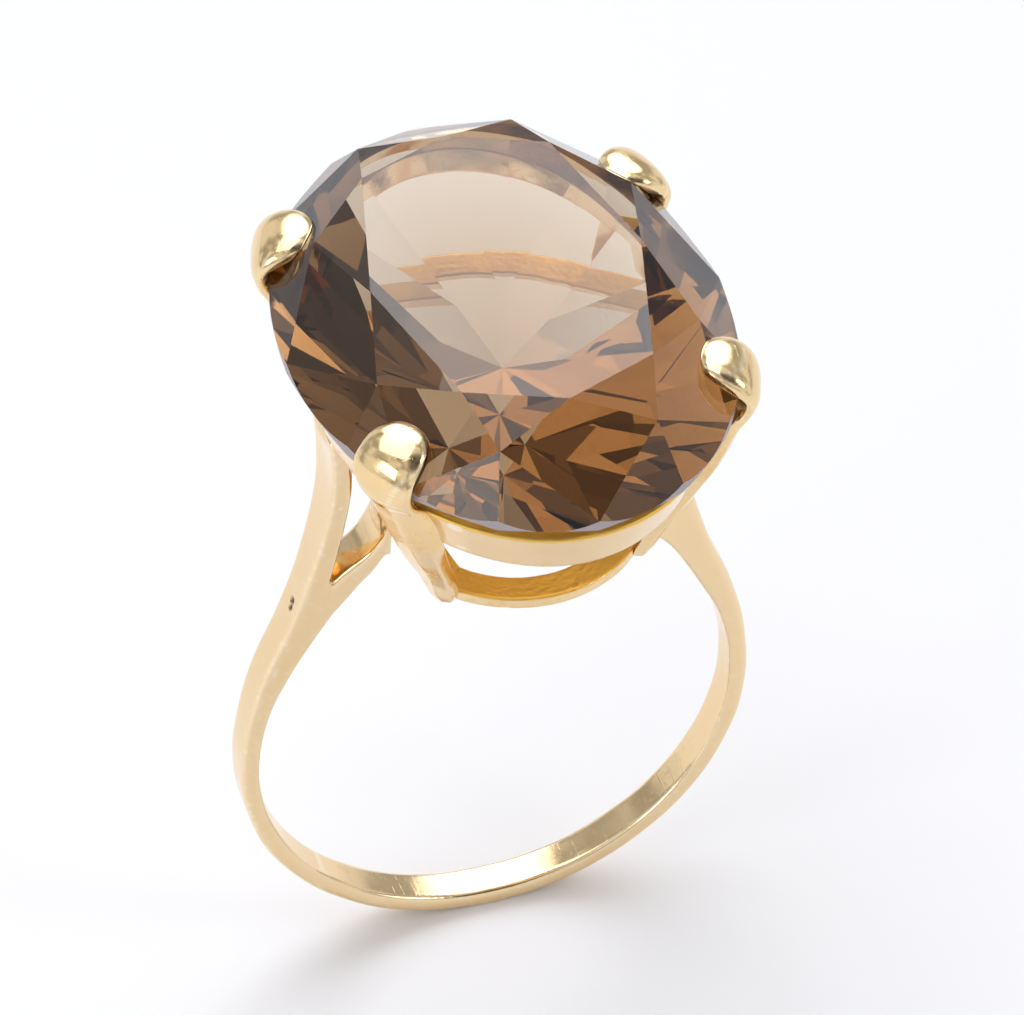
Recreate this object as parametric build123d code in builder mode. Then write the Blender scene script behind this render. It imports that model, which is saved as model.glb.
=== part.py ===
from build123d import *
import math
import os

# Cocktail ring in yellow gold with one oval brilliant-cut smoky quartz, in millimetres.
# The origin is the centre of the finger hole. +Y is the finger's axis, +Z goes up through the
# stone and +X across the finger.

# finger hole and shank
bore_radius = 8.45
base_thickness = 0.65
base_width = 1.4              # along the finger, at the bottom of the hoop
arm_width = 2.3               # the same at the top of the arms
shoulder_start = (29.2, 0.32) # angle from the horizontal, rise over the hoop's outside
shoulder_hollow = 0.3         # how far the shoulder curves in below the upper rail
crotch_angle = 52.0           # where the shank splits into two arms
crotch_rise = 1.63            # its height over the finger hole
upper_arm_thickness = 0.68
upper_arm_straight = 2.55     # nearly upright length below the upper rail
upper_arm_inset = 0.18        # its outer face inside the rail's foot
lower_arm_rise = 1.9          # top of the lower arm over the finger hole
lower_arm_thickness = 0.47
underside_start_angle = 47.0  # where the lower arm lifts off the finger
# gallery rails
lower_rail_rise = 1.9         # underside over the top of the finger hole
lower_rail_thickness = 0.45
lower_rail_length = 11.8
lower_rail_width = 8.0
lower_rail_corner = (3.55, 4.15)
lower_rail_band = 1.1
upper_rail_drop = 0.75        # top edge below the girdle
upper_rail_height = 1.83
upper_rail_inset = 0.5        # outer wall inside the stone's edge, at the top
upper_rail_taper = 0.7        # how much further in the wall is at its foot
upper_rail_wall = 0.8
# stone
stone_length = 20.0           # along the finger
stone_width = 15.0
culet_clearance = 0.4         # over the lower rail
pavilion_depth = 6.35
girdle_thickness = 0.4
crown_height = 2.45
crown_break_height = 1.7      # girdle to the meeting points of stars and kites
crown_angle_side = 40.8       # kite facets on the ring's left and right
crown_angle_corner = 43.1
crown_angle_end = 36.4        # kite facets towards the knuckle and the fingertip
corner_kite_azimuth = 34.5
table_corner_azimuth = 59.0
pavilion_break = 0.25         # share of the pavilion's depth where its lower facets meet
# claws
claw_positions = {            # angle round the girdle, as the parameter of its ellipse
    "claw_front_right": -31.0,
    "claw_front_left": 216.0,
    "claw_back_left": 149.0,
    "claw_back_right": 31.0,
}
claw_foot_width = 0.7
claw_leg_width = 1.5
claw_thickness = 0.7
claw_tip_width = 2.3
claw_head = (                 # outer face of the head: out from the girdle, up from it
    (0.65, -0.7),
    (0.45, 0.75),
    (-0.45, 1.35),
    (-1.4, 1.25),
)
claw_tip_thickness = 0.85
# fits
seat_clearance = 0.04         # quartz to gold
joint_gap = 0.01              # solder line between two pieces of gold
fitting_allowance = 0.1       # a claw's blank reaches this far into what it is cut back to

os.makedirs("parts", exist_ok=True)

outer_radius = bore_radius + base_thickness
lower_rail_z = bore_radius + lower_rail_rise
lower_rail_top_z = lower_rail_z + lower_rail_thickness
culet_z = lower_rail_top_z + culet_clearance
girdle_bottom_z = culet_z + pavilion_depth
girdle_top_z = girdle_bottom_z + girdle_thickness
table_z = girdle_top_z + crown_height
upper_rail_top_z = girdle_bottom_z - upper_rail_drop
upper_rail_bottom_z = upper_rail_top_z - upper_rail_height
half_width = stone_width / 2
half_length = stone_length / 2


# --- stone: oval brilliant, a blank cut down by its facets ---
def girdle_reach(azimuth):
    """Distance from the stone's axis to a line that touches the girdle at this azimuth."""
    angle = math.radians(azimuth)
    return math.hypot(half_width * math.cos(angle), half_length * math.sin(angle))


def girdle_point(parameter, z):
    angle = math.radians(parameter)
    return Vector(half_width * math.cos(angle), half_length * math.sin(angle), z)


def facet(first, second, third):
    """The plane through three points, with its normal away from the stone's axis."""
    middle = (first + second + third) / 3
    normal = (second - first).cross(third - first).normalized()
    outward = Vector(middle.X, middle.Y, 0)
    if normal.dot(outward) < 0:
        normal = normal * -1
    return Plane(origin=middle, z_dir=normal)


def main_facet(azimuth, slope, z):
    """A kite or pavilion main: touches the girdle at height z and rises inwards by slope."""
    angle = math.radians(azimuth)
    reach = girdle_reach(azimuth)
    foot = Vector(reach * math.cos(angle), reach * math.sin(angle), z)
    normal = Vector(math.cos(angle), math.sin(angle), 1 / slope)
    return Plane(origin=foot, z_dir=normal)


def side_meeting(slope_side, slope_corner, rise, z):
    """Where the side main and the corner main cross, at this rise from the girdle."""
    angle = math.radians(corner_kite_azimuth)
    x = half_width - rise / slope_side
    across = girdle_reach(corner_kite_azimuth) - rise / slope_corner
    return Vector(x, (across - x * math.cos(angle)) / math.sin(angle), z)


def end_meeting(slope_end, slope_corner, rise, z):
    """Where the end main and the corner main cross, at this rise from the girdle."""
    angle = math.radians(corner_kite_azimuth)
    y = half_length - rise / slope_end
    across = girdle_reach(corner_kite_azimuth) - rise / slope_corner
    return Vector((across - y * math.sin(angle)) / math.cos(angle), y, z)


def mirrored(plane, sign_x, sign_y):
    origin = Vector(plane.origin.X * sign_x, plane.origin.Y * sign_y, plane.origin.Z)
    normal = Vector(plane.z_dir.X * sign_x, plane.z_dir.Y * sign_y, plane.z_dir.Z)
    return Plane(origin=origin, z_dir=normal)


side_slope = math.tan(math.radians(crown_angle_side))
corner_slope = math.tan(math.radians(crown_angle_corner))
end_slope = math.tan(math.radians(crown_angle_end))
break_z = girdle_top_z + crown_break_height
side_tip = side_meeting(side_slope, corner_slope, crown_break_height, break_z)
end_tip = end_meeting(end_slope, corner_slope, crown_break_height, break_z)

corner_reach = girdle_reach(corner_kite_azimuth) - crown_height / corner_slope
corner_radius = corner_reach / math.cos(math.radians(table_corner_azimuth - corner_kite_azimuth))
table_side = Vector(half_width - crown_height / side_slope, 0, table_z)
table_end = Vector(0, half_length - crown_height / end_slope, table_z)
table_corner = Vector(
    corner_radius * math.cos(math.radians(table_corner_azimuth)),
    corner_radius * math.sin(math.radians(table_corner_azimuth)),
    table_z,
)

pavilion_rise = pavilion_depth * (1 - pavilion_break)
keel_z = girdle_bottom_z - pavilion_rise
side_fall = pavilion_depth / half_width
corner_fall = pavilion_depth / girdle_reach(corner_kite_azimuth)
end_fall = pavilion_depth / half_length
side_keel = side_meeting(side_fall, corner_fall, pavilion_rise, keel_z)
end_keel = end_meeting(end_fall, corner_fall, pavilion_rise, keel_z)

# the facets of one quarter; the others are its mirror images
quarter_facets = [
    main_facet(0, side_slope, girdle_top_z),
    main_facet(corner_kite_azimuth, corner_slope, girdle_top_z),
    main_facet(90, end_slope, girdle_top_z),
    facet(table_side, table_corner, side_tip),
    facet(table_corner, table_end, end_tip),
    main_facet(0, -side_fall, girdle_bottom_z),
    main_facet(corner_kite_azimuth, -corner_fall, girdle_bottom_z),
    main_facet(90, -end_fall, girdle_bottom_z),
]
side_parameter = math.degrees(math.atan2(side_tip.Y / half_length, side_tip.X / half_width))
end_parameter = math.degrees(math.atan2(end_tip.Y / half_length, end_tip.X / half_width))
kite_point = math.tan(math.radians(corner_kite_azimuth)) * half_length / half_width
corner_parameter = math.degrees(math.atan(kite_point))
girdle_breaks = (0, side_parameter, corner_parameter, end_parameter, 90)
for start, stop in zip(girdle_breaks, girdle_breaks[1:]):
    tip, keel = (side_tip, side_keel) if stop <= corner_parameter else (end_tip, end_keel)
    quarter_facets.append(
        facet(girdle_point(start, girdle_top_z), girdle_point(stop, girdle_top_z), tip)
    )
    quarter_facets.append(
        facet(girdle_point(start, girdle_bottom_z), girdle_point(stop, girdle_bottom_z), keel)
    )

with BuildPart() as stone:
    with BuildSketch(Plane.XY.offset(culet_z)):
        Ellipse(half_width, half_length)
    extrude(amount=table_z - culet_z)
    for sign_x in (1, -1):
        for sign_y in (1, -1):
            for plane in quarter_facets:
                split(bisect_by=mirrored(plane, sign_x, sign_y), keep=Keep.BOTTOM)

# room kept round the pavilion, so that gold cut back to it clears the quartz
with BuildPart() as stone_space:
    with BuildSketch(Plane.XY.offset(culet_z)):
        Circle(seat_clearance)
    with BuildSketch(Plane.XY.offset(girdle_bottom_z)):
        Ellipse(half_width + seat_clearance, half_length + seat_clearance)
    loft()

# --- upper gallery rail: tapered band, its top edge bevelled to the pavilion ---
rail_top_x = half_width - upper_rail_inset
rail_top_y = half_length - upper_rail_inset
rail_foot_x = rail_top_x - upper_rail_taper
rail_foot_y = rail_top_y - upper_rail_taper
with BuildPart() as upper_rail:
    for wall, mode in ((0, Mode.ADD), (upper_rail_wall, Mode.SUBTRACT)):
        with BuildSketch(Plane.XY.offset(upper_rail_bottom_z)):
            Ellipse(rail_foot_x - wall, rail_foot_y - wall)
        with BuildSketch(Plane.XY.offset(upper_rail_top_z)):
            Ellipse(rail_top_x - wall, rail_top_y - wall)
        loft(mode=mode)
    add(stone_space.part, mode=Mode.SUBTRACT)

# --- lower gallery rail: flat washer just above the finger, its corners under the claws ---
corner_x, corner_y = lower_rail_corner
with BuildPart() as lower_rail:
    with BuildSketch(Plane.XY.offset(lower_rail_z)):
        with BuildLine():
            for side in (1, -1):
                ThreePointArc(
                    (side * corner_x, -corner_y),
                    (side * lower_rail_width / 2, 0),
                    (side * corner_x, corner_y),
                )
                ThreePointArc(
                    (-corner_x, side * corner_y),
                    (0, side * lower_rail_length / 2),
                    (corner_x, side * corner_y),
                )
        make_face()
        offset(amount=-lower_rail_band, mode=Mode.SUBTRACT)
    extrude(amount=lower_rail_thickness)


# --- shank: hoop with shoulders that split into an upper and a lower arm ---
def over_bore(angle, rise):
    """A point of the hoop's profile, this far over the finger hole at this angle."""
    turn = math.radians(angle)
    radius = bore_radius + rise
    return Vector(radius * math.cos(turn), radius * math.sin(turn))


start_angle, start_rise = shoulder_start
shoulder_foot = over_bore(start_angle, base_thickness + start_rise)
arm_joint_z = upper_rail_bottom_z - joint_gap
arm_bend = Vector(rail_foot_x - upper_arm_inset, arm_joint_z - upper_arm_straight)
shoulder_middle = (shoulder_foot + arm_bend) / 2 - Vector(shoulder_hollow, 0)
arm_thickness = Vector(upper_arm_thickness, 0)
crotch = over_bore(crotch_angle, crotch_rise)
rail_side_x = lower_rail_width / 2 + joint_gap
arm_end_rise = lower_arm_rise - lower_arm_thickness
arm_end_angle = math.degrees(math.acos(rail_side_x / (bore_radius + arm_end_rise)))
arm_end = over_bore(arm_end_angle, arm_end_rise)


def underside(share, lift):
    """A point under the lower arm: share of the way along it, share of its final lift."""
    angle = underside_start_angle + share * (arm_end_angle - underside_start_angle)
    return over_bore(angle, lift * arm_end_rise)


with BuildPart() as shank:
    with BuildSketch(Plane.XZ):
        with BuildLine():
            CenterArc((0, 0), outer_radius, -90, 90)
            outside = Spline(
                (outer_radius, 0),
                shoulder_foot,
                shoulder_middle,
                arm_bend,
                (rail_foot_x, arm_joint_z),
                tangents=[(0, 1), (upper_arm_inset, upper_arm_straight)],
            )
            top = Line(outside @ 1, outside @ 1 - arm_thickness)
            Spline(top @ 1, arm_bend - arm_thickness, crotch)
            lower_top = Spline(
                crotch,
                over_bore((crotch_angle + arm_end_angle) / 2, lower_arm_rise),
                over_bore(arm_end_angle, lower_arm_rise) + Vector(lower_arm_thickness, 0),
            )
            Polyline(lower_top @ 1, (rail_side_x, lower_rail_top_z), arm_end)
            Spline(arm_end, underside(0.8, 0.88), underside(0.5, 0.5), underside(0, 0))
            CenterArc((0, 0), bore_radius, -90, 90 + underside_start_angle)
            Line((0, -bore_radius), (0, -outer_radius))
        make_face()
        mirror(about=Plane.YZ)
    extrude(amount=arm_width / 2, both=True)
    with BuildSketch(Plane.YZ):
        with BuildLine():
            taper = Polyline(
                (0, -outer_radius),
                (base_width / 2, -outer_radius),
                (base_width / 2, 0),
                (arm_width / 2, arm_joint_z),
                (0, arm_joint_z),
            )
            mirror(taper, about=Plane.YZ)
        make_face()
    extrude(amount=outer_radius, both=True, mode=Mode.INTERSECT)


# --- claws: tapered legs outside both rails, spoon tips folded over the crown ---
def claw(parameter):
    contact = girdle_point(parameter, 0)
    rail_corner = Vector(
        math.copysign(corner_x, contact.X),
        math.copysign(corner_y, contact.Y),
        0,
    )
    outward = (contact - rail_corner).normalized()
    sideways = outward.cross(Vector(0, 0, 1))
    side_view = Plane(origin=contact, x_dir=outward, z_dir=sideways)
    front_view = Plane(origin=contact, x_dir=sideways * -1, z_dir=outward)
    foot = -(contact - rail_corner).length - fitting_allowance
    rail_foot = -upper_rail_inset - upper_rail_taper - fitting_allowance
    rail_top = -upper_rail_inset - fitting_allowance
    head = [(out, girdle_top_z + up) for out, up in claw_head]
    tip_out, tip_z = head[-1]
    tip_width = claw_tip_width / 2
    with BuildPart() as piece:
        with BuildSketch(side_view):
            with BuildLine():
                Polyline(
                    head[-1],
                    (tip_out, tip_z - claw_tip_thickness),
                    (rail_top, upper_rail_top_z),
                    (rail_foot, upper_rail_bottom_z),
                    (foot, lower_rail_z),
                    (foot + claw_thickness, lower_rail_z),
                    (rail_foot + claw_thickness + fitting_allowance, upper_rail_bottom_z),
                    head[0],
                )
                Spline(*head)
            make_face()
        extrude(amount=claw_tip_width, both=True)
        with BuildSketch(front_view):
            with BuildLine():
                edge = Polyline(
                    (0, lower_rail_z),
                    (claw_foot_width / 2, lower_rail_z),
                    (claw_leg_width / 2, upper_rail_bottom_z),
                    (claw_leg_width / 2, upper_rail_top_z),
                    (tip_width, girdle_top_z),
                    (tip_width, tip_z + claw_thickness),
                    (0, tip_z + claw_thickness),
                )
                mirror(edge, about=Plane.YZ)
            make_face()
        extrude(amount=half_width, both=True, mode=Mode.INTERSECT)
        with BuildSketch(Plane(origin=contact + Vector(0, 0, girdle_top_z), x_dir=outward)):
            with Locations((tip_out, 0)):
                Rectangle(claw_tip_width, claw_tip_width)
            with Locations((tip_out + tip_width, 0)):
                Circle(tip_width, mode=Mode.SUBTRACT)
        extrude(amount=tip_z, mode=Mode.SUBTRACT)
        for body in (upper_rail, lower_rail, stone, stone_space):
            add(body.part, mode=Mode.SUBTRACT)
    return piece


pieces = {"stone": stone, "upper_rail": upper_rail, "lower_rail": lower_rail, "shank": shank}
for name, parameter in claw_positions.items():
    pieces[name] = claw(parameter)

for name, piece in pieces.items():
    piece.part.label = name
    export_step(piece.part, f"parts/{name}.step")
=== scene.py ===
import math

import bmesh
import bpy
import numpy as np
from mathutils import Matrix, Vector, noise


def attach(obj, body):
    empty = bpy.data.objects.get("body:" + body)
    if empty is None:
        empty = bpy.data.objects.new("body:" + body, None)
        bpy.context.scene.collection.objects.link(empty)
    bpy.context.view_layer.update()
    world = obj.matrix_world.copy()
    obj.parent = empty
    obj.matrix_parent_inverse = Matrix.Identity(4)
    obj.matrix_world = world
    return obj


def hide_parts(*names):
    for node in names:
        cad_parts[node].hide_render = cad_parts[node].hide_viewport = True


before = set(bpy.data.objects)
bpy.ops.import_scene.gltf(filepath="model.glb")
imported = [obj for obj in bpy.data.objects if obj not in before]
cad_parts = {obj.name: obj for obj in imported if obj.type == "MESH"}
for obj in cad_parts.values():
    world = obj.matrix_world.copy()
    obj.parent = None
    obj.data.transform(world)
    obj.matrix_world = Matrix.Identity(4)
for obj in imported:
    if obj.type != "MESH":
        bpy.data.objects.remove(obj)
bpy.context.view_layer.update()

# --- shank ---
# The real piece: a slim hoop of 9 ct gold, flat-sided with edges softened by years of wear.
# Each end is sawn into an upper and a lower arm, bent open, filed and polished, and the arms
# are soldered to the two gallery rails.
MM = 0.001
BORE_RADIUS = 8.45
STATION_GAP = 0.12


def smooth_curve(knots, step):
    """Points about one step apart on a smooth curve through rows of numbers, x and z first."""
    rows = np.array(knots, float)
    gaps = np.linalg.norm(np.diff(rows[:, :2], axis=0), axis=1)
    along = np.concatenate([[0], np.cumsum(gaps)])
    slopes = np.gradient(rows, along, axis=0)
    samples = np.linspace(0, along[-1], max(2, round(along[-1] / step)))
    result = []
    for s in samples:
        i = min(int(np.searchsorted(along, s, side="right")) - 1, len(rows) - 2)
        h = along[i + 1] - along[i]
        t = (s - along[i]) / h
        result.append(
            (2 * t**3 - 3 * t**2 + 1) * rows[i]
            + (t**3 - 2 * t**2 + t) * h * slopes[i]
            + (3 * t**2 - 2 * t**3) * rows[i + 1]
            + (t**3 - t**2) * h * slopes[i + 1]
        )
    return np.array(result)


def loft(rings):
    """A closed bmesh skin over rings of points in millimetres."""
    bm = bmesh.new()
    verts = [[bm.verts.new(Vector(p)) for p in ring] for ring in rings]
    count = len(rings[0])
    for low, high in zip(verts, verts[1:]):
        for i in range(count):
            j = (i + 1) % count
            bm.faces.new((low[i], low[j], high[j], high[i]))
    bm.faces.new(verts[0][::-1])
    bm.faces.new(verts[-1])
    bmesh.ops.recalc_face_normals(bm, faces=bm.faces)
    return bm


def ribbon(stations):
    """A strip of rounded section: each station is outer x, z, inner x, z and width."""
    corner = 0.15
    crown = 0.05
    rings = []
    for outer_x, outer_z, inner_x, inner_z, width in stations:
        outer = np.array((outer_x, outer_z))
        inner = np.array((inner_x, inner_z))
        middle, half = (outer + inner) / 2, (outer - inner) / 2
        thick = np.linalg.norm(half)
        ring = []
        for turn in range(4):
            for k in range(7):
                angle = math.radians(90 * turn + 15 * k)
                sy = (1, -1, -1, 1)[turn]
                sv = (1, 1, -1, -1)[turn]
                y = sy * (width / 2 - corner) + corner * math.cos(angle)
                v = sv * (thick - corner) + corner * math.sin(angle)
                v += crown * (1 - (2 * y / width) ** 2) * (1 if v > 0 else 0)
                x, z = middle + half / thick * v
                ring.append((x, y, z))
        rings.append(ring)
    return loft(rings)


def on_hoop(angle, outer_rise, inner_rise, width):
    """A station at an angle round the finger hole, its faces this far outside the hole."""
    turn = math.radians(angle)
    outer, inner = BORE_RADIUS + outer_rise, BORE_RADIUS + inner_rise
    return (
        outer * math.cos(turn), outer * math.sin(turn),
        inner * math.cos(turn), inner * math.sin(turn), width,
    )


hoop_half = [on_hoop(a, 0.64, 0.0, 1.36) for a in range(-90, 1, 10)]
hoop_half += [
    on_hoop(10, 0.66, 0.0, 1.37),
    on_hoop(20, 0.78, 0.0, 1.4),
    on_hoop(29.2, 0.97, 0.0, 1.43),
    (7.47, 6.5, 6.55, 5.95, 1.47),
    (6.9, 8.4, 6.08, 8.2, 1.55),
    (6.42, 10.4, 5.68, 10.35, 1.75),
    (6.14, 12.4, 5.45, 12.41, 2.0),
    (6.16, 13.7, 5.48, 13.7, 2.17),
    (6.3, 14.98, 5.62, 14.98, 2.3),
]
lower_arm = [
    on_hoop(22, 0.6, 0.02, 1.3),
    on_hoop(34, 1.0, 0.06, 1.4),
    on_hoop(42, 1.35, 0.27, 1.46),
    on_hoop(48, 1.55, 0.5, 1.5),
    on_hoop(53, 1.66, 0.66, 1.53),
    on_hoop(58, 1.8, 0.92, 1.58),
    on_hoop(62, 1.92, 1.16, 1.66),
    (4.46, 9.72, 4.22, 9.02, 1.78),
    (4.0, 10.76, 4.0, 9.08, 1.86),
]


def mirrored(stations):
    """The same stations on the other side of the finger."""
    return [tuple(np.multiply(row, (-1, 1, -1, 1, 1))) for row in stations]


strips = [
    smooth_curve(mirrored(hoop_half[:0:-1]) + hoop_half, STATION_GAP),
    smooth_curve(lower_arm, STATION_GAP),
    smooth_curve(mirrored(lower_arm), STATION_GAP),
]


def merged(name, parts, solder):
    """One mesh of several overlapping bmeshes and small balls of solder, not yet joined."""
    whole = bmesh.new()
    for bm in parts:
        scrap = bpy.data.meshes.new("scrap")
        bm.to_mesh(scrap)
        bm.free()
        whole.from_mesh(scrap)
        bpy.data.meshes.remove(scrap)
    for place, size in solder:
        ball = Matrix.Translation(place) @ Matrix.Diagonal((*size, 1))
        bmesh.ops.create_icosphere(whole, subdivisions=3, radius=1, matrix=ball)
    mesh = bpy.data.meshes.new(name)
    whole.to_mesh(mesh)
    whole.free()
    piece = bpy.data.objects.new(name, mesh)
    bpy.context.scene.collection.objects.link(piece)
    return piece


def bake(piece):
    """Turns what the modifiers make into the piece's own mesh, and millimetres into metres."""
    graph = bpy.context.evaluated_depsgraph_get()
    mesh = bpy.data.meshes.new_from_object(piece.evaluated_get(graph))
    piece.modifiers.clear()
    old = piece.data
    piece.data = mesh
    bpy.data.meshes.remove(old)
    mesh.transform(Matrix.Scale(MM, 4))
    mesh.name = piece.name
    mesh.shade_smooth()


def skin(piece, voxel, rounds):
    """Joins overlapping parts under one skin and softens it, as polishing does."""
    shell = piece.modifiers.new("skin", "REMESH")
    shell.mode = "VOXEL"
    shell.voxel_size = voxel
    soft = piece.modifiers.new("polish", "SMOOTH")
    soft.factor = 0.5
    soft.iterations = rounds
    bake(piece)


def vectors(mesh, what):
    """The mesh's points or normals as rows of an array."""
    rows = np.empty(len(mesh.vertices) * 3, np.float32)
    if what == "co":
        mesh.vertices.foreach_get("co", rows)
    else:
        mesh.vertex_normals.foreach_get("vector", rows)
    return rows.reshape(-1, 3).astype(float)


def mark(piece, name, spots):
    """A point attribute: 1 at each spot, fading out over its radius in millimetres."""
    mesh = piece.data
    co = vectors(mesh, "co") / MM
    value = np.zeros(len(co))
    full_middle = 1.35
    for place, radius in spots:
        far = np.linalg.norm(co - np.array(place), axis=1)
        value = np.maximum(value, np.clip(full_middle * (1 - far / radius), 0, 1))
    field = mesh.attributes.new(name, "FLOAT", "POINT")
    field.data.foreach_set("value", value)


def handwork(piece, sway, seed):
    """Moves the skin by a slow wave, as filing and polishing by hand leave it."""
    waves = 0.55
    co, normals = vectors(piece.data, "co"), vectors(piece.data, "normal")
    start = Vector((seed,) * 3)
    wave = [noise.noise(Vector(p) / MM * waves + start) for p in co]
    co += normals * np.array(wave)[:, None] * sway * MM
    piece.data.vertices.foreach_set("co", co.ravel())
    piece.data.update()


def wire(tree, kind, settings=None, **inputs):
    """Adds a node, sets its properties, and links or sets its inputs by name."""
    node = tree.nodes.new(kind)
    for key, value in (settings or {}).items():
        setattr(node, key, value)
    for key, value in inputs.items():
        label = key.replace("_", " ")
        socket = node.inputs[int(key[1:])] if key[1:].isdigit() else node.inputs[label]
        if isinstance(value, bpy.types.NodeSocket):
            tree.links.new(value, socket)
        else:
            socket.default_value = value
    return node


def calc(tree, operation, *values):
    """A Math node's result from up to three numbers or sockets."""
    inputs = {f"i{n}": value for n, value in enumerate(values)}
    return wire(tree, "ShaderNodeMath", {"operation": operation}, **inputs).outputs[0]


def spread(tree, value, low, high, start=0.0, end=1.0, kind="LINEAR"):
    """Turns a value's range from low to high into start to end."""
    return wire(
        tree, "ShaderNodeMapRange", {"interpolation_type": kind},
        Value=value, From_Min=low, From_Max=high, To_Min=start, To_Max=end,
    ).outputs["Result"]


def blend(tree, amount, without, full):
    """A colour between two others."""
    return wire(
        tree, "ShaderNodeMix", {"data_type": "RGBA"}, i0=amount, i6=without, i7=full,
    ).outputs[2]


def stored(tree, name):
    """An attribute that the mesh carries."""
    return wire(tree, "ShaderNodeAttribute", {"attribute_name": name}).outputs["Fac"]


def gold(name, colour, deep, roughness):
    """Polished gold: rubbed bright on edges, painted shade deeper in hollows, scratched,
    porous at solder.
    """
    material = bpy.data.materials.new(name)
    material.use_nodes = True
    tree = material.node_tree
    shader = tree.nodes["Principled BSDF"]
    shader.inputs["Metallic"].default_value = 1.0
    place = wire(tree, "ShaderNodeTexCoord").outputs["Object"]
    form = wire(tree, "ShaderNodeNewGeometry").outputs["Pointiness"]
    # pointiness: edges rubbed bright by wear, hollows given painted shade in the deep colour
    edges = spread(tree, form, 0.44, 0.57, kind="SMOOTHSTEP")
    cloud = wire(
        tree, "ShaderNodeTexNoise", Vector=place, Scale=1100.0, Detail=5.0, Roughness=0.6,
    ).outputs["Fac"]
    wear_and_painted_shade = calc(tree, "MULTIPLY_ADD", cloud, 0.35, -0.17)
    wear_and_painted_shade = wire(
        tree, "ShaderNodeMath", {"operation": "ADD", "use_clamp": True}, i0=wear_and_painted_shade, i1=edges,
    ).outputs[0]
    solder, soil, filed = (stored(tree, label) for label in ("solder", "soil", "filed"))
    crust_tone = (deep[0] * 0.9, deep[1] * 0.75, deep[2] * 0.6, 1)
    filed_tone = (0.86, 0.55, 0.12, 1)
    soil_tone = (0.05, 0.03, 0.015, 1)
    # low values give the deep colour: painted shade in hollows, random tone elsewhere; high
    # values give rubbed edges
    tone = blend(tree, wear_and_painted_shade, (*deep, 1), (*colour, 1))
    tone = blend(tree, calc(tree, "MULTIPLY", solder, 0.35), tone, crust_tone)
    tone = blend(tree, filed, tone, filed_tone)
    tone = blend(tree, soil, tone, soil_tone)
    tree.links.new(tone, shader.inputs["Base Color"])
    # two sets of fine scratches that cross
    scratches = []
    for stretch, size in (((1, 0.06, 1), 9000.0), ((0.08, 1, 0.3), 7000.0)):
        run = wire(
            tree, "ShaderNodeMapping", Vector=place, Scale=stretch, Rotation=(0.2, 0.5, 0.3),
        ).outputs["Vector"]
        hair = wire(
            tree, "ShaderNodeTexNoise", Vector=run, Scale=size, Detail=3.0, Roughness=0.7,
        ).outputs["Fac"]
        scratches.append(spread(tree, hair, 0.6, 0.75))
    hair = calc(tree, "MAXIMUM", *scratches)
    gloss = spread(tree, cloud, 0.3, 0.75, roughness * 0.6, roughness * 1.7)
    gloss = calc(tree, "MULTIPLY_ADD", hair, 0.1, gloss)
    gloss = calc(tree, "MULTIPLY_ADD", solder, 0.2, gloss)
    gloss = calc(tree, "MULTIPLY_ADD", filed, 0.3, gloss)
    tree.links.new(gloss, shader.inputs["Roughness"])
    pores = wire(
        tree, "ShaderNodeTexVoronoi", {"feature": "SMOOTH_F1"},
        Vector=place, Scale=6000.0, Smoothness=0.6,
    ).outputs["Distance"]
    unfinished = calc(tree, "MULTIPLY_ADD", filed, 0.25, solder)
    crumbs = calc(tree, "MULTIPLY", pores, unfinished)
    height = calc(tree, "MULTIPLY_ADD", hair, -0.12, crumbs)
    swell = wire(
        tree, "ShaderNodeTexNoise", Vector=place, Scale=420.0, Detail=2.0,
    ).outputs["Fac"]
    height = calc(tree, "MULTIPLY_ADD", swell, 1.2, height)
    bump = wire(
        tree, "ShaderNodeBump", Height=height, Strength=0.7, Distance=0.04 * MM,
    ).outputs["Normal"]
    tree.links.new(bump, shader.inputs["Normal"])
    return material


shank = merged(
    "shank_hoop",
    [ribbon(stations) for stations in strips],
    [
        ((side * x, 0, z), size)
        for side in (1, -1)
        for x, z, size in (
            (6.32, 7.75, (0.26, 0.66, 0.3)),
            (4.2, 10.05, (0.2, 0.8, 0.66)),
            (6.0, 14.7, (0.42, 1.1, 0.22)),
        )
    ],
)
skin(shank, 0.06, 12)
handwork(shank, 0.035, 3.0)
mark(shank, "solder", [((s * 4.1, y, 10.4), 0.75) for s in (1, -1) for y in (-0.7, 0, 0.7)])
mark(shank, "soil", [((-7.3, -0.24, 7.0), 0.17), ((-7.22, -0.17, 7.22), 0.2)])
# the dirt sits in a small pit
PIT_DEPTH = 0.07
pit = np.empty(len(shank.data.vertices), np.float32)
shank.data.attributes["soil"].data.foreach_get("value", pit)
inwards = vectors(shank.data, "normal") * pit[:, None] * PIT_DEPTH * MM
shank.data.vertices.foreach_set("co", (vectors(shank.data, "co") - inwards).ravel())
shank.data.update()
shank.data.materials.append(gold("shank_gold", (0.96, 0.79, 0.54), (0.88, 0.6, 0.27), 0.12))
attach(shank, "root")
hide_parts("shank")

# --- gallery rails ---
# The real pieces: two bands of gold strip bent to ovals. The upper leans outwards and its top
# is bevelled with a file to seat the stone; the lower is a flat washer over the finger. Only
# their outsides are polished: the seat and the washer's top are left from the file.


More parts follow.
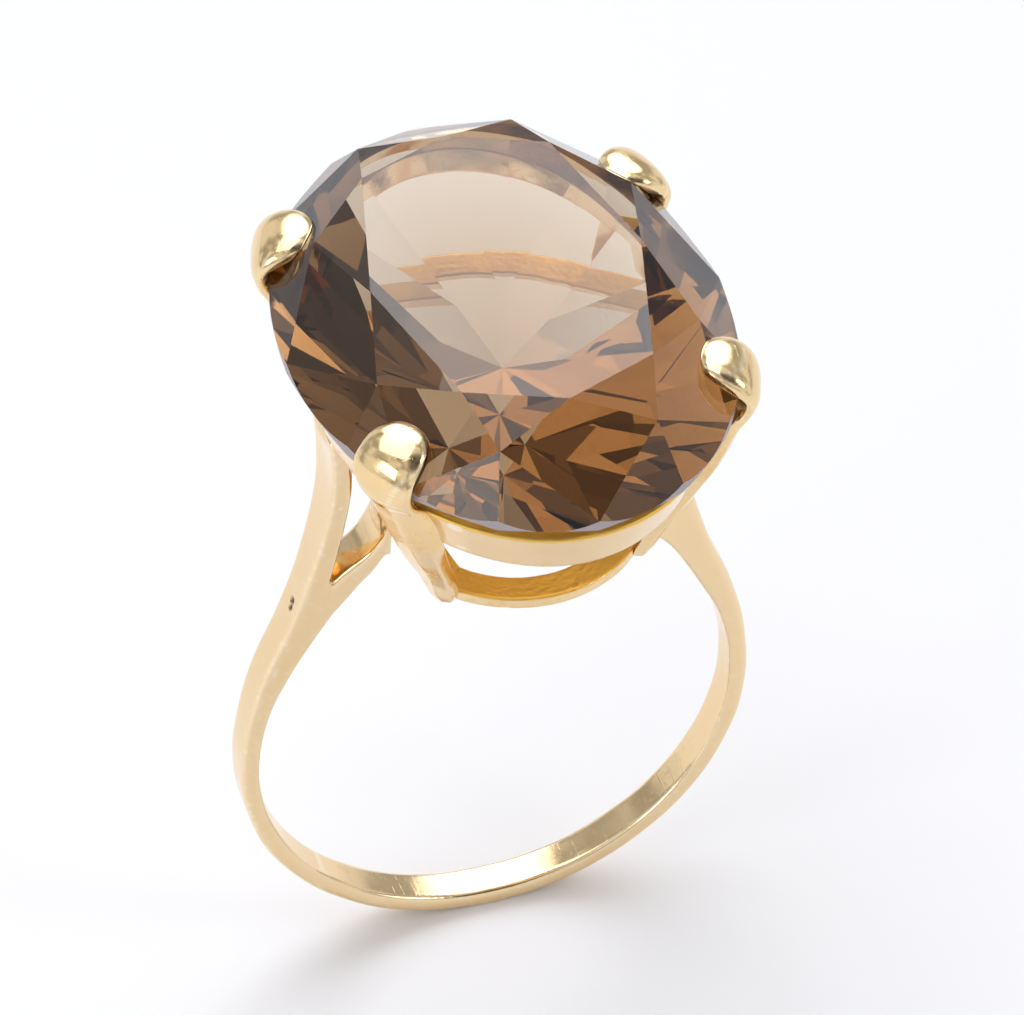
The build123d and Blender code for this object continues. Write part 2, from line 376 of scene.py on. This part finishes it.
def band_tree():
    """A band swept round an outline, filed back to the stone's seat, with file marks."""
    tree = bpy.data.node_groups.new("oval_band", "GeometryNodeTree")
    face = tree.interface
    face.new_socket("Outline", in_out="INPUT", socket_type="NodeSocketGeometry")
    for label in ("Height", "Lean", "Wall", "Edge Radius", "Seat Base", "Seat Slope X",
                  "Seat Slope Y", "Sway", "File Marks", "File Top"):
        face.new_socket(label, in_out="INPUT", socket_type="NodeSocketFloat")
    face.new_socket("Gold", in_out="INPUT", socket_type="NodeSocketMaterial")
    face.new_socket("Band", in_out="OUTPUT", socket_type="NodeSocketGeometry")
    given = tree.nodes.new("NodeGroupInput").outputs
    fixed = tree.nodes.new("NodeGroupOutput").inputs

    def point(x, y, z=0.0):
        return wire(tree, "ShaderNodeCombineXYZ", X=x, Y=y, Z=z).outputs[0]

    drop = given["Height"]
    foot = calc(tree, "MULTIPLY", given["Lean"], -1.0)
    inside = calc(tree, "MULTIPLY", given["Wall"], -1.0)
    section = wire(
        tree, "GeometryNodeCurvePrimitiveQuadrilateral", {"mode": "POINTS"},
        Point_1=point(0.0, 0.0), Point_2=point(inside, 0.0),
        Point_3=point(calc(tree, "ADD", foot, inside), drop), Point_4=point(foot, drop),
    ).outputs["Curve"]
    section = wire(
        tree, "GeometryNodeFilletCurve", {"mode": "POLY"},
        Curve=section, Radius=given["Edge Radius"], Count=5,
    )
    section = wire(
        tree, "GeometryNodeResampleCurve", {"mode": "COUNT"},
        Curve=section.outputs["Curve"], Count=88,
    ).outputs["Curve"]
    path = wire(
        tree, "GeometryNodeSetCurveNormal", {"mode": "Z_UP"}, Curve=given["Outline"],
    ).outputs["Curve"]
    band = wire(
        tree, "GeometryNodeCurveToMesh", Curve=path, Profile_Curve=section,
    ).outputs["Mesh"]
    here = wire(tree, "GeometryNodeInputPosition").outputs[0]
    x, y, z = wire(tree, "ShaderNodeSeparateXYZ", Vector=here).outputs
    seat = calc(
        tree, "SQRT",
        calc(
            tree, "ADD",
            calc(tree, "POWER", calc(tree, "MULTIPLY", x, given["Seat Slope X"]), 2.0),
            calc(tree, "POWER", calc(tree, "MULTIPLY", y, given["Seat Slope Y"]), 2.0),
        ),
    )
    seat = calc(tree, "ADD", seat, given["Seat Base"])
    band = wire(
        tree, "GeometryNodeSetPosition", Geometry=band,
        Position=point(x, y, calc(tree, "MINIMUM", z, seat)),
    ).outputs["Geometry"]
    grain = wire(
        tree, "ShaderNodeTexNoise", {"noise_dimensions": "4D"},
        W=4.0, Scale=450.0, Detail=2.0,
    ).outputs["Fac"]
    teeth = wire(
        tree, "ShaderNodeTexNoise", {"noise_dimensions": "4D"},
        W=7.0, Scale=5200.0, Detail=2.0,
    ).outputs["Fac"]
    filed = calc(tree, "GREATER_THAN", z, given["File Top"])
    wave = calc(tree, "MULTIPLY", calc(tree, "SUBTRACT", grain, 0.5), given["Sway"])
    bite = calc(tree, "MULTIPLY", calc(tree, "SUBTRACT", teeth, 0.6), given["File Marks"])
    depth = calc(tree, "ADD", wave, calc(tree, "MULTIPLY", bite, filed))
    normal = wire(tree, "GeometryNodeInputNormal").outputs[0]
    offset = wire(
        tree, "ShaderNodeVectorMath", {"operation": "SCALE"}, i0=normal, Scale=depth,
    ).outputs[0]
    band = wire(
        tree, "GeometryNodeSetPosition", Geometry=band, Offset=offset,
    ).outputs["Geometry"]
    band = wire(
        tree, "GeometryNodeStoreNamedAttribute", {"data_type": "FLOAT", "domain": "POINT"},
        Geometry=band, Name="filed", Value=filed,
    ).outputs["Geometry"]
    band = wire(tree, "GeometryNodeRealizeInstances", Geometry=band).outputs["Geometry"]
    band = wire(
        tree, "GeometryNodeSetMaterial", Geometry=band, Material=given["Gold"],
    ).outputs["Geometry"]
    tree.links.new(band, fixed["Band"])
    return tree


def rail(name, outline, values, material, tree):
    """A closed outline in millimetres, turned into a band by the tree."""
    path = bpy.data.curves.new(name, "CURVE")
    path.dimensions = "3D"
    spline = path.splines.new("POLY")
    spline.points.add(len(outline) - 1)
    for place, point in zip(outline, spline.points):
        point.co = (place[0] * MM, place[1] * MM, place[2] * MM, 1)
    spline.use_cyclic_u = True
    piece = bpy.data.objects.new(name, path)
    bpy.context.scene.collection.objects.link(piece)
    modifier = piece.modifiers.new("band", "NODES")
    modifier.node_group = tree
    for item in tree.interface.items_tree:
        if item.in_out == "INPUT" and item.name in values:
            modifier[item.identifier] = values[item.name]
        if item.name == "Gold":
            modifier[item.identifier] = material
    piece.update_tag()
    graph = bpy.context.evaluated_depsgraph_get()
    mesh = bpy.data.meshes.new_from_object(piece.evaluated_get(graph))
    bpy.data.objects.remove(piece)
    bpy.data.curves.remove(path)
    mesh.name = name
    mesh.shade_smooth()
    piece = bpy.data.objects.new(name, mesh)
    bpy.context.scene.collection.objects.link(piece)
    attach(piece, "root")
    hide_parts(name.removesuffix("_band"))


band = band_tree()
gallery = gold("gallery_gold", (0.97, 0.82, 0.62), (0.84, 0.55, 0.2), 0.14)
OVAL_POINTS, OVAL_HALF_WIDTH, OVAL_HALF_LENGTH, OVAL_TOP = 420, 7.0, 9.5, 16.8
oval = []
for k in range(OVAL_POINTS):
    turn = 2 * math.pi * k / OVAL_POINTS
    oval.append(
        (OVAL_HALF_WIDTH * math.cos(turn), OVAL_HALF_LENGTH * math.sin(turn), OVAL_TOP)
    )
rail(
    "upper_rail_band", oval,
    {
        "Height": 1.83 * MM, "Lean": 0.7 * MM, "Wall": 1.1 * MM, "Edge Radius": 0.09 * MM,
        "Seat Base": 11.14 * MM, "Seat Slope X": 6.35 / 7.5, "Seat Slope Y": 6.35 / 10,
        "Sway": 0.05 * MM, "File Marks": 0.06 * MM, "File Top": 16.72 * MM,
    },
    gallery, band,
)
# the washer's sides and ends are arcs: each has its radius and how far off its centre lies
WASHER_POINTS, WASHER_TOP = 480, 10.8
SIDE_ARC, SIDE_CENTRE, END_ARC, END_CENTRE = 19.36, 15.36, 4.476, 1.424
washer = []
for k in range(WASHER_POINTS):
    turn = 2 * math.pi * k / WASHER_POINTS
    east, north = abs(math.cos(turn)), abs(math.sin(turn))
    side_reach = math.sqrt(SIDE_ARC**2 - (SIDE_CENTRE * north) ** 2) - SIDE_CENTRE * east
    end_reach = END_CENTRE * north + math.sqrt(END_ARC**2 - (END_CENTRE * east) ** 2)
    reach = min(side_reach, end_reach)
    washer.append((reach * math.cos(turn), reach * math.sin(turn), WASHER_TOP))
rail(
    "lower_rail_band", washer,
    {
        "Height": 0.45 * MM, "Lean": 0.0, "Wall": 1.1 * MM, "Edge Radius": 0.1 * MM,
        "Seat Base": 50 * MM, "Seat Slope X": 0.0, "Seat Slope Y": 0.0,
        "Sway": 0.04 * MM, "File Marks": 0.03 * MM, "File Top": 10.76 * MM,
    },
    gallery, band,
)

# --- stone's facets ---
# An oval brilliant is cut on a wheel, one flat at a time: eight mains and eight stars on the
# crown, the girdle facets above and below the rim, and eight mains and long lower facets on
# the pavilion. The claws are notched to fit it, so its planes come before them.
HALF_WIDTH, HALF_LENGTH = 7.5, 10.0
CULET, GIRDLE_LOW, GIRDLE_TOP, TABLE = 11.2, 17.55, 17.95, 20.4
CORNER_AZIMUTH, TABLE_CORNER_AZIMUTH = 34.5, 59
CROWN_ANGLES = 40.8, 43.1, 36.4
MAIN_RISE = 1.7
KEEL_SHARE = 0.75


def reach_at(azimuth):
    """How far out a plane that faces this azimuth touches the oval."""
    turn = math.radians(azimuth)
    return math.hypot(HALF_WIDTH * math.cos(turn), HALF_LENGTH * math.sin(turn))


def rim(parameter, z):
    """A point on the oval at a height."""
    turn = math.radians(parameter)
    return Vector((HALF_WIDTH * math.cos(turn), HALF_LENGTH * math.sin(turn), z))


def through(first, second, third):
    """A plane through three points as a point on it and its outward normal."""
    middle = (first + second + third) / 3
    normal = (second - first).cross(third - first).normalized()
    if normal.x * middle.x + normal.y * middle.y < 0:
        normal.negate()
    return middle, normal


def main_facet(azimuth, slope, z):
    """A plane that leans back by a slope from the oval at a height."""
    turn = math.radians(azimuth)
    reach = reach_at(azimuth)
    foot = Vector((reach * math.cos(turn), reach * math.sin(turn), z))
    return foot, Vector((math.cos(turn), math.sin(turn), 1 / slope)).normalized()


def meeting(slope_axis, slope_corner, rise, z, at_side):
    """Where a main on an axis and the corner main cross, at this rise from the girdle."""
    turn = math.radians(CORNER_AZIMUTH)
    across = reach_at(CORNER_AZIMUTH) - rise / slope_corner
    if at_side:
        x = HALF_WIDTH - rise / slope_axis
        return Vector((x, (across - x * math.cos(turn)) / math.sin(turn), z))
    y = HALF_LENGTH - rise / slope_axis
    return Vector(((across - y * math.sin(turn)) / math.cos(turn), y, z))


def stone_planes():
    """Every facet as a point on it and its outward normal, one quarter mirrored to four."""
    side, corner, end = (math.tan(math.radians(a)) for a in CROWN_ANGLES)
    crown = TABLE - GIRDLE_TOP
    side_tip = meeting(side, corner, MAIN_RISE, GIRDLE_TOP + MAIN_RISE, True)
    end_tip = meeting(end, corner, MAIN_RISE, GIRDLE_TOP + MAIN_RISE, False)
    turn = math.radians(TABLE_CORNER_AZIMUTH)
    reach = reach_at(CORNER_AZIMUTH)
    between = math.radians(TABLE_CORNER_AZIMUTH - CORNER_AZIMUTH)
    radius = (reach - crown / corner) / math.cos(between)
    table_side = Vector((HALF_WIDTH - crown / side, 0, TABLE))
    table_end = Vector((0, HALF_LENGTH - crown / end, TABLE))
    table_corner = Vector((radius * math.cos(turn), radius * math.sin(turn), TABLE))
    depth = GIRDLE_LOW - CULET
    falls = depth / HALF_WIDTH, depth / reach, depth / HALF_LENGTH
    keel = depth * KEEL_SHARE
    side_keel = meeting(falls[0], falls[1], keel, GIRDLE_LOW - keel, True)
    end_keel = meeting(falls[2], falls[1], keel, GIRDLE_LOW - keel, False)
    quarter = [
        main_facet(0, side, GIRDLE_TOP),
        main_facet(CORNER_AZIMUTH, corner, GIRDLE_TOP),
        main_facet(90, end, GIRDLE_TOP),
        through(table_side, table_corner, side_tip),
        through(table_corner, table_end, end_tip),
        main_facet(0, -falls[0], GIRDLE_LOW),
        main_facet(CORNER_AZIMUTH, -falls[1], GIRDLE_LOW),
        main_facet(90, -falls[2], GIRDLE_LOW),
    ]
    first = math.degrees(math.atan2(side_tip.y / HALF_LENGTH, side_tip.x / HALF_WIDTH))
    last = math.degrees(math.atan2(end_tip.y / HALF_LENGTH, end_tip.x / HALF_WIDTH))
    steepness = math.tan(math.radians(CORNER_AZIMUTH))
    middle = math.degrees(math.atan(steepness * HALF_LENGTH / HALF_WIDTH))
    breaks = (0, first, middle, last, 90)
    for start, stop in zip(breaks, breaks[1:]):
        tip, keel = (side_tip, side_keel) if stop <= middle else (end_tip, end_keel)
        quarter.append(through(rim(start, GIRDLE_TOP), rim(stop, GIRDLE_TOP), tip))
        quarter.append(through(rim(start, GIRDLE_LOW), rim(stop, GIRDLE_LOW), keel))
    planes = []
    for sx in (1, -1):
        for sy in (1, -1):
            for point, normal in quarter:
                if (sx < 0 and abs(normal.x) < 1e-6) or (sy < 0 and abs(normal.y) < 1e-6):
                    continue
                mirror = Vector((sx, sy, 1))
                planes.append((point * mirror, normal * mirror))
    return planes


facets = stone_planes()

# --- claws ---
# The real pieces: four tapered strips of gold soldered outside both rails at the stone's
# corners. The setter has notched each one at the girdle, bent its broad end over the crown
# and burnished it to a domed, round-ended tip; the legs keep lengthwise flats from the file.
CLAW_FOOT_X, CLAW_FOOT_Y = 3.55, 4.15
SHIFT_HEIGHTS = (10.4, 14.5, 18.5)
AROUND = 64
NOTCH_FROM, NOTCH_GAP = 16.5, 0.02


def claw(name, parameter, shift, breadth, seed):
    """One claw from the lower rail's corner up to the stone's edge and over it."""
    turn = math.radians(parameter)
    contact = np.array((HALF_WIDTH * math.cos(turn), HALF_LENGTH * math.sin(turn), 0))
    corner = np.array((
        math.copysign(CLAW_FOOT_X, contact[0]), math.copysign(CLAW_FOOT_Y, contact[1]), 0,
    ))
    length = np.linalg.norm(contact - corner)
    outward = (contact - corner) / length
    sideways = np.cross(outward, (0, 0, 1))
    # outer s, z, inner s, z, half-width, headness, skirt of solder
    stations = [
        (-length + 0.3, 10.38, -length - 0.15, 10.38, 0.38, 0, 0),
        (-length + 0.5, 10.7, -length - 0.12, 10.7, 0.45, 0, 0.1),
        (-length + 1.05, 11.9, -length + 0.36, 11.9, 0.66, 0, 0),
        (-1.12, 13.5, -1.9, 13.5, 0.88, 0, 0),
        (-0.45, 14.9, -1.28, 14.9, 0.98, 0, 0.2),
        (-0.02, 16.0, -0.9, 16.0, 1.0, 0, 0.3),
        (0.3, 16.8, -0.5, 16.8, 1.0, 0.1, 0.15),
        (0.62, 17.4, -0.1, 17.4, 1.1, 0.5, 0),
        (0.72, 17.95, 0.03, 17.95, 1.2, 0.9, 0),
        (0.6, 18.5, -0.1, 18.15, 1.25, 1, 0),
        (0.28, 18.98, -0.4, 18.3, 1.25, 1, 0),
        (-0.2, 19.28, -0.75, 18.55, 1.19, 1, 0),
        (-0.72, 19.4, -1.02, 18.7, 1.02, 1, 0),
        (-1.12, 19.37, -1.27, 18.8, 0.76, 1, 0),
        (-1.34, 19.27, -1.38, 18.9, 0.45, 1, 0),
        (-1.42, 19.16, -1.44, 19.05, 0.12, 1, 0),
    ]
    # the leg's section, sideways and outwards, walked round at an even pace
    leg = np.array(((1, -1), (1.0, 0.25), (0.48, 0.95), (-0.25, 1.0), (-1.0, 0.35), (-1, -1)))
    sides = np.linalg.norm(np.roll(leg, -1, axis=0) - leg, axis=1)
    marks = np.concatenate([[0], np.cumsum(sides)])
    rings = []
    for row in smooth_curve(stations, 0.07):
        outer_s, outer_z, inner_s, inner_z, half, head, skirt = row
        head = min(max(head, 0), 1)
        ring = []
        for k in range(AROUND):
            s = marks[-1] * k / AROUND
            i = min(int(np.searchsorted(marks, s, side="right")) - 1, len(leg) - 1)
            t = (s - marks[i]) / sides[i]
            flat = leg[i] * (1 - t) + leg[(i + 1) % len(leg)] * t
            angle = math.atan2(flat[1], flat[0])
            c, d = math.cos(angle), math.sin(angle)
            dome = (
                math.copysign(abs(c) ** 0.8, c),
                d if d >= 0 else -abs(d) ** 0.8,
            )
            u = flat[0] * (1 - head) + dome[0] * head
            v = flat[1] * (1 - head) + dome[1] * head
            u *= half * breadth * (1 + skirt * (1 - v) / 2)
            v = (v + 1) / 2
            out = inner_s + (outer_s - inner_s) * v
            z = inner_z + (outer_z - inner_z) * v
            across = u + np.interp(z, SHIFT_HEIGHTS, shift)
            ring.append(contact + outward * out + sideways * across + (0, 0, z))
        rings.append(ring)
    bm = loft(rings)
    mesh = bpy.data.meshes.new(name)
    bm.to_mesh(mesh)
    bm.free()
    piece = bpy.data.objects.new(name, mesh)
    bpy.context.scene.collection.objects.link(piece)
    rounding = piece.modifiers.new("rounding", "SMOOTH")
    rounding.factor = 0.5
    rounding.iterations = 2
    finer = piece.modifiers.new("finer", "SUBSURF")
    finer.levels = 1
    finer.render_levels = 1
    bake(piece)
    handwork(piece, 0.03, seed)
    # notched to the stone: points inside its planes move out to just clear of it
    co = vectors(piece.data, "co") / MM
    gaps = np.array([(co - np.array(point)) @ np.array(normal) for point, normal in facets])
    nearest = gaps.argmax(axis=0)
    gap = gaps.max(axis=0)
    inside = (gap < NOTCH_GAP) & (co[:, 2] > NOTCH_FROM)
    short = np.where(inside, NOTCH_GAP - gap, 0)
    co += np.array([normal for point, normal in facets])[nearest] * short[:, None]
    piece.data.vertices.foreach_set("co", (co * MM).ravel())
    piece.data.update()
    seam = contact - outward * 0.75
    mark(
        piece, "solder",
        [(seam + sideways * across + (0, 0, z), 0.85) for across in (-1.05, 1.05)
         for z in (15.1, 15.9, 16.6)],
    )
    return piece


claw_gold = gold("claw_gold", (0.96, 0.77, 0.48), (0.86, 0.58, 0.24), 0.1)
for name, parameter, shift, breadth, seed in (
    ("claw_front_left", 216.0, (-0.42, -0.55, -0.28), 0.96, 11.0),
    ("claw_front_right", -31.0, (0.0, 0.0, 0.0), 0.96, 23.0),
    ("claw_back_left", 149.0, (0.0, 0.0, 0.0), 1.02, 37.0),
    ("claw_back_right", 31.0, (0.0, 0.0, 0.0), 0.97, 51.0),
):
    piece = claw(name + "_prong", parameter, shift, breadth, seed)
    piece.data.materials.append(claw_gold)
    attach(piece, "root")
    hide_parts(name)

# --- stone ---
# The real piece: one smoky quartz of 20 x 15 mm, transparent medium brown, its facets polished
# to a mirror, its facet edges just worn and its thin girdle left ground. The claws alone hold
# it, and a few dull spots show on its polish.
SEGMENTS = 288
EDGE_BEVEL, EDGE_ANGLE = 0.014, 2.5
blank = bmesh.new()
for z in (CULET, TABLE):
    ring = [blank.verts.new(rim(360 * k / SEGMENTS, z)) for k in range(SEGMENTS)]
    blank.faces.new(ring)
blank.verts.ensure_lookup_table()
for k in range(SEGMENTS):
    j = (k + 1) % SEGMENTS
    low, high = blank.verts[k], blank.verts[SEGMENTS + k]
    blank.faces.new((low, blank.verts[j], blank.verts[SEGMENTS + j], high))
for point, normal in facets:
    cut = bmesh.ops.bisect_plane(
        blank, geom=blank.verts[:] + blank.edges[:] + blank.faces[:], dist=1e-5,
        plane_co=point, plane_no=normal, clear_outer=True,
    )
    ring = [e for e in cut["geom_cut"] if isinstance(e, bmesh.types.BMEdge)]
    if len(ring) > 2:
        bmesh.ops.edgenet_fill(blank, edges=ring)
bmesh.ops.remove_doubles(blank, verts=blank.verts, dist=2e-4)
bmesh.ops.dissolve_limit(
    blank, angle_limit=math.radians(0.3), verts=blank.verts, edges=blank.edges,
)
bmesh.ops.recalc_face_normals(blank, faces=blank.faces)
worn_edges = [
    e for e in blank.edges
    if len(e.link_faces) == 2 and e.calc_face_angle() > math.radians(EDGE_ANGLE)
]
bmesh.ops.bevel(
    blank, geom=worn_edges, offset=EDGE_BEVEL, offset_type="OFFSET", segments=1,
    affect="EDGES", clamp_overlap=True,
)
bmesh.ops.triangulate(blank, faces=[f for f in blank.faces if len(f.verts) > 4])
mesh = bpy.data.meshes.new("stone_quartz")
bmesh.ops.scale(blank, vec=(MM, MM, MM), verts=blank.verts)
blank.to_mesh(mesh)
blank.free()
stone = bpy.data.objects.new("stone_quartz", mesh)
bpy.context.scene.collection.objects.link(stone)
# the girdle is left ground: its faces are upright and lie between the two facet rows
SLACK = 0.1
ground = mesh.attributes.new("ground", "FLOAT", "FACE")
ground.data.foreach_set("value", [
    float(
        abs(f.normal.z) < 0.2
        and GIRDLE_LOW - SLACK < f.center.z / MM < GIRDLE_TOP + SLACK
    )
    for f in mesh.polygons
])
quartz = bpy.data.materials.new("smoky_quartz")
quartz.use_nodes = True
tree = quartz.node_tree
shader = tree.nodes["Principled BSDF"]
shader.inputs["IOR"].default_value = 1.544
place = wire(tree, "ShaderNodeTexCoord").outputs["Object"]
rub = wire(tree, "ShaderNodeTexNoise", Vector=place, Scale=700.0, Detail=4.0).outputs["Fac"]
rub = spread(tree, rub, 0.64, 0.8, 0.0, 0.015)
matt = stored(tree, "ground")
milky = blend(tree, matt, (1, 1, 1, 1), (0.5, 0.45, 0.47, 1))
clear = calc(tree, "MULTIPLY_ADD", matt, -0.75, 1.0)
rough = calc(tree, "MULTIPLY_ADD", matt, 0.42, rub)
tree.links.new(milky, shader.inputs["Base Color"])
tree.links.new(clear, shader.inputs["Transmission Weight"])
tree.links.new(rough, shader.inputs["Roughness"])
body = wire(
    tree, "ShaderNodeVolumeAbsorption", Color=(0.546, 0.324, 0.0, 1), Density=185.0,
).outputs["Volume"]
tree.links.new(body, tree.nodes["Material Output"].inputs["Volume"])
stone.data.materials.append(quartz)
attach(stone, "root")
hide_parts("stone")

# --- floor, light and camera ---
# A plain pale floor under the hoop, a bright room of pale walls and windows, three soft lights
# and the camera.
FLOOR_REACH, FLOOR_TOP = 0.6, -9.1 * MM
mesh = bpy.data.meshes.new("floor")
mesh.from_pydata(
    [
        (x * FLOOR_REACH, y * FLOOR_REACH, FLOOR_TOP)
        for x, y in ((-1, -1), (1, -1), (1, 1), (-1, 1))
    ],
    [], [(0, 1, 2, 3)],
)
floor = bpy.data.objects.new("floor", mesh)
bpy.context.scene.collection.objects.link(floor)
pale = bpy.data.materials.new("pale_floor")
pale.use_nodes = True
shader = pale.node_tree.nodes["Principled BSDF"]
shader.inputs["Base Color"].default_value = (0.86, 0.86, 0.89, 1)
shader.inputs["Roughness"].default_value = 0.6
mesh.materials.append(pale)

world = bpy.data.worlds.new("room")
bpy.context.scene.world = world
world.use_nodes = True
tree = world.node_tree
sky = wire(tree, "ShaderNodeTexCoord").outputs["Generated"]
patches = wire(
    tree, "ShaderNodeTexNoise", Vector=sky, Scale=2.6, Detail=1.0, Roughness=0.4,
).outputs["Fac"]
patches = spread(tree, patches, 0.38, 0.6, 0.42, 0.85, "SMOOTHSTEP")


def toward(direction):
    """1 straight towards a direction in the room, less to its sides."""
    return wire(
        tree, "ShaderNodeVectorMath", {"operation": "DOT_PRODUCT"}, i0=sky, i1=direction,
    ).outputs["Value"]


# a bright window behind the ring, and a darker wall in front of it
glow = spread(tree, toward((0.24, 0.68, 0.69)), 0.88, 0.97, 0.0, 3.0, "SMOOTHSTEP")
shade = spread(tree, toward((0.2, -0.52, 0.83)), 0.84, 0.98, 1.0, 0.2, "SMOOTHSTEP")
level = calc(tree, "MULTIPLY", calc(tree, "ADD", patches, glow), shade)
seen = wire(tree, "ShaderNodeLightPath").outputs["Is Camera Ray"]
level = wire(
    tree, "ShaderNodeMix", {"data_type": "FLOAT"}, i0=seen, i2=level, i3=0.93,
).outputs[0]
tree.links.new(level, tree.nodes["Background"].inputs["Strength"])
tree.nodes["Background"].inputs["Color"].default_value = (0.97, 0.98, 1.0, 1)


def softbox(name, place, size, power):
    """A rectangular soft light that points at the middle of the ring."""
    middle = Vector((0, 0, 0.01))
    data = bpy.data.lights.new(name, "AREA")
    data.shape = "RECTANGLE"
    data.size, data.size_y = size
    data.energy = power
    lamp = bpy.data.objects.new(name, data)
    lamp.location = place
    lamp.rotation_euler = (middle - Vector(place)).to_track_quat("-Z", "Y").to_euler()
    bpy.context.scene.collection.objects.link(lamp)


softbox("overhead", (-0.07, 0.07, 0.31), (0.24, 0.24), 0.28)
softbox("left", (-0.3, -0.1, 0.14), (0.14, 0.14), 0.14)
softbox("right", (0.24, -0.16, 0.2), (0.1, 0.14), 0.1)

camera = bpy.data.objects.new("camera", bpy.data.cameras.new("camera"))
camera.data.sensor_width = 36
camera.data.lens = 316.4
camera.data.clip_start, camera.data.clip_end = 0.01, 10
right = Vector((0.950707, -0.308950, 0.026557))
up = Vector((0.194616, 0.661160, 0.724563))
back = right.cross(up)
camera.matrix_world = Matrix((
    (right.x, up.x, back.x, -72.561 * MM),
    (right.y, up.y, back.y, -206.942 * MM),
    (right.z, up.z, back.z, 217.764 * MM),
    (0, 0, 0, 1),
))
bpy.context.scene.collection.objects.link(camera)
bpy.context.scene.camera = camera
bpy.context.scene.view_settings.view_transform = "Standard"
